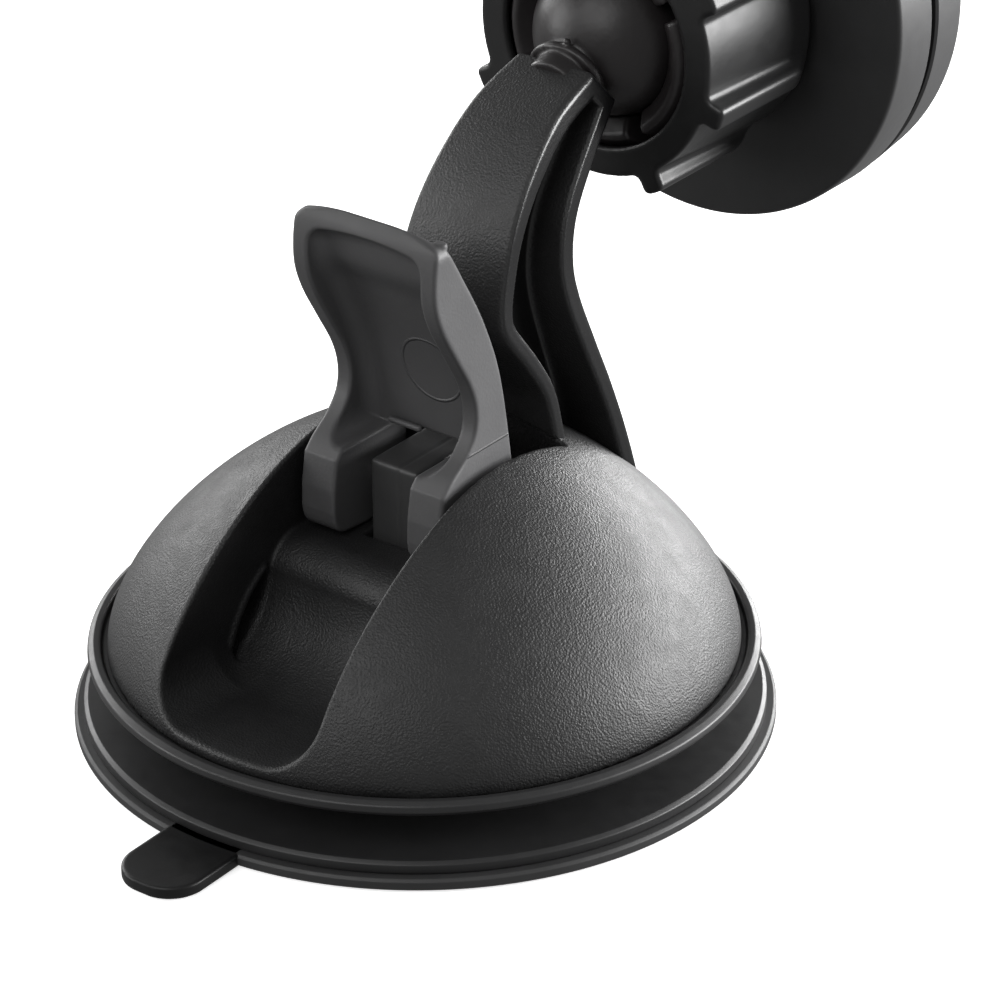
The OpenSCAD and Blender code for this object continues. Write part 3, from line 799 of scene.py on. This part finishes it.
# ---------------------------------------------------------------- head and nut
def build_head():
    """Round head in two covers with a groove between, and its face pad."""
    wall = 2.0
    back = lathe("back_cover_body", rounded(
        [(0, HEAD_BACK), (HEAD_R, HEAD_BACK), (HEAD_R, GROOVE_LOW), (HEAD_R - wall, GROOVE_LOW),
         (HEAD_R - wall, HEAD_BACK + wall), (0, HEAD_BACK + wall)], 0.35, {1: 0.5}),
        place=head_place)
    finish_piece(back, "head", HEAD_MAT.mat, "black_plastic", "head_back_cover")
    front_r, rim_r, seat_r = HEAD_R - 0.7, 1.6, FACE_R + 0.05
    rim = arc(front_r - rim_r, HEAD_FRONT - rim_r, rim_r, 0, 90, 14)
    line = np.concatenate([
        [(0, GROOVE_HIGH), (HEAD_R - 0.45, GROOVE_HIGH), (HEAD_R - 0.2, GROOVE_HIGH + 0.25),
         (HEAD_R - 0.2, GROOVE_HIGH + 0.6)], rim,
        [(seat_r, HEAD_FRONT), (seat_r, PAD_SEAT), (0, PAD_SEAT)]])
    cover = lathe("front_cover_body", line, place=head_place)
    finish_piece(cover, "head", HEAD_MAT.mat, "black_plastic", "front_cover")
    face = lathe("face_pad_body", rounded(
        [(0, PAD_SEAT), (FACE_R, PAD_SEAT), (FACE_R, FACE), (0, FACE)], 0.3, {2: 0.5}),
        place=head_place)
    finish_piece(face, "head", RUBBER_MAT.mat, "rubber", "face_pad")


def build_socket():
    """The ball's socket on the back cover, slotted into four fingers."""
    socket_r, finger_root = 12.5, 5.0
    c, n = math.cos(math.radians(30)), math.sin(math.radians(30))

    def socket(x, y, z):
        h, s = z - BALL[2], y - BALL[1]
        r = length(x, h)
        ball = length(r, s)
        body = both(r - socket_r, np.maximum(SOCKET_TIP - s, s - HEAD_BACK - 0.4), 0.2)
        body = np.maximum(body, (r - 10.8 - (s - SOCKET_TIP) * 0.85) * 0.76)
        mouth = np.maximum(r - 10.2 + (s - SOCKET_TIP) * 1.1, s + 2.8) * 0.7
        body = cut(body, mouth, 0.12)
        body = cut(body, ball - BALL_R - 0.09, 0.1)
        body = cut(body, np.maximum(ball - BALL_R - 2.05, finger_root - s), 0.1)
        # Two crossed slots part the fingers
        u, v = x * c + h * n, x * n - h * c
        slots = np.maximum(np.minimum(np.abs(u), np.abs(v)) - 1.0, s - finger_root)
        return cut(body, slots, 0.25)

    lo, hi = BALL + [-13, -4.8, -13], BALL + [13, 15.6, 13]
    piece = solid("socket_fingers", socket, lo, hi, 0.3)
    finish_piece(piece, "head", BALL_MAT.mat, "black_plastic", "head_back_cover")


def build_nut():
    """Lock nut: a slightly conical sleeve with lugs that taper towards the head."""
    step, phase = 2 * math.pi / LUGS, math.radians(17)
    spread = 0.7 / (NUT_FRONT - NUT_BACK)
    lug_hw, taper_len = 1.35, 4.2

    def nut(x, y, z):
        h, s = z - BALL[2], y - BALL[1]
        r = length(x, h)
        body = r - (NUT_R + (s - NUT_BACK) * spread)
        turn = np.arctan2(-h, x) - phase
        local = turn - step * np.round(turn / step)
        taper = 2.3 * np.clip((s - NUT_FRONT + taper_len) / taper_len, 0, 1) ** 2
        lug = both(r - LUG_R + taper, r * np.abs(np.sin(local)) - lug_hw, 0.7)
        lug = np.maximum(lug, 6 - r)
        body = join(body, lug, 0.8)
        body = both(body, np.maximum(NUT_BACK - s, s - NUT_FRONT), 0.4)
        cone = (r - NUT_MOUTH_R - (s - NUT_BACK - 0.8) * 0.846) * 0.76
        bore = np.maximum(r - NUT_BORE_R, cone)
        bore = np.minimum(bore, np.maximum(r - NUT_MOUTH_R, s))
        return cut(body, bore, 0.2)

    lo, hi = BALL + [-18, -4.9, -18], BALL + [18, 14, 18]
    piece = solid("lock_nut_body", nut, lo, hi, 0.27)
    finish_piece(piece, "nut", NUT_MAT.mat, "black_plastic", "lock_nut")


def dress_nodes():
    """CAD nodes whose shape is right keep it and take a detailed material."""
    for names, look in ((("lever_pin", "arm_screws", "head_screws", "steel_yoke"), STEEL_MAT),
                        (("magnets",), MAGNET_MAT), (("magnet_tray",), SIDE_MAT),
                        (("friction_pad",), RUBBER_MAT), (("pressure_cup",), SEAL_MAT)):
        for name in names:
            for place in NODES[name].material_slots:
                place.material = look.mat


# ---------------------------------------------------------------- stage, lights, camera
def lamp(name, azimuth, elevation, size, power):
    """A soft box a metre from the mount, at angles measured as the camera's are."""
    a, e = math.radians(azimuth), math.radians(elevation)
    where = Vector((math.sin(a) * math.cos(e), -math.cos(a) * math.cos(e), math.sin(e)))
    data = bpy.data.lights.new(name, "AREA")
    data.shape = "RECTANGLE"
    data.size, data.size_y = size
    data.energy = power
    obj = bpy.data.objects.new(name, data)
    obj.location = LIT_POINT + where
    obj.rotation_mode = "QUATERNION"
    obj.rotation_quaternion = (-where).to_track_quat("-Z", "Y")
    bpy.context.scene.collection.objects.link(obj)


def build_stage():
    """Pale floor, even surroundings and five soft boxes."""
    half, drop = 3.0, 0.0002
    floor = bpy.data.meshes.new("floor")
    floor.from_pydata([(-half, -half, 0), (half, -half, 0), (half, half, 0), (-half, half, 0)],
                      [], [(0, 1, 2, 3)])
    obj = bpy.data.objects.new("floor", floor)
    obj.location.z = -drop
    bpy.context.scene.collection.objects.link(obj)
    m = Nodes("floor_paper", (0.9, 0.9, 0.9), 0.9)
    m.feed("Roughness", m.ramp(m.noise(30.0), 0.3, 0.7, 0.86, 0.92))
    m.shader.inputs["Emission Color"].default_value = (1, 1, 1, 1)
    m.shader.inputs["Emission Strength"].default_value = 0.7
    obj.data.materials.append(m.mat)
    obj.visible_diffuse = obj.visible_glossy = False

    world = bpy.data.worlds.new("studio")
    bpy.context.scene.world = world
    world.use_nodes = True
    bg = world.node_tree.nodes["Background"]
    bg.inputs["Color"].default_value = (1, 1, 1, 1)
    bg.inputs["Strength"].default_value = 0.30

    for name, turn, elevation, size, power in (
            ("soft_right", 97, 12, (0.7, 0.5), 20),
            ("soft_right_back", 140, 10, (0.7, 0.4), 13),
            ("soft_left", -92, 14, (0.55, 0.5), 3.5),
            ("soft_left_back", -140, 14, (0.6, 0.4), 5),
            ("soft_front", -38, 42, (0.8, 0.6), 3.8)):
        lamp(name, CAMERA_AZIMUTH + turn, elevation, size, power)
    bpy.context.scene.view_settings.view_transform = "Standard"


def build_camera():
    """Camera turned round from the lever's side and raised above the horizon."""
    azimuth, elevation, roll = (math.radians(a) for a in (
        CAMERA_AZIMUTH, CAMERA_ELEVATION, CAMERA_ROLL))
    distance, right, up = 0.4822, 0.00799, 0.02159
    back = Vector((0, -math.cos(elevation), math.sin(elevation)))
    x0, y0 = Vector((1, 0, 0)), Vector((0, math.sin(elevation), math.cos(elevation)))
    x = x0 * math.cos(roll) + y0 * math.sin(roll)
    y = y0 * math.cos(roll) - x0 * math.sin(roll)
    turn = Matrix.Rotation(azimuth, 3, "Z")
    place = turn @ (x * right + y * up + back * distance)
    basis = Matrix((turn @ x, turn @ y, turn @ back)).transposed()
    data = bpy.data.cameras.new("camera")
    data.sensor_width, data.lens = 36.0, 161.8
    data.clip_start, data.clip_end = 0.01, 20
    cam = bpy.data.objects.new("camera", data)
    cam.matrix_world = Matrix.Translation(place) @ basis.to_4x4()
    bpy.context.scene.collection.objects.link(cam)
    bpy.context.scene.camera = cam


build_camera()
build_stage()
build_pad()
build_stem()
build_lever()
build_dome()
build_ring()
build_arm()
build_ball()
build_head()
build_socket()
build_nut()
dress_nodes()
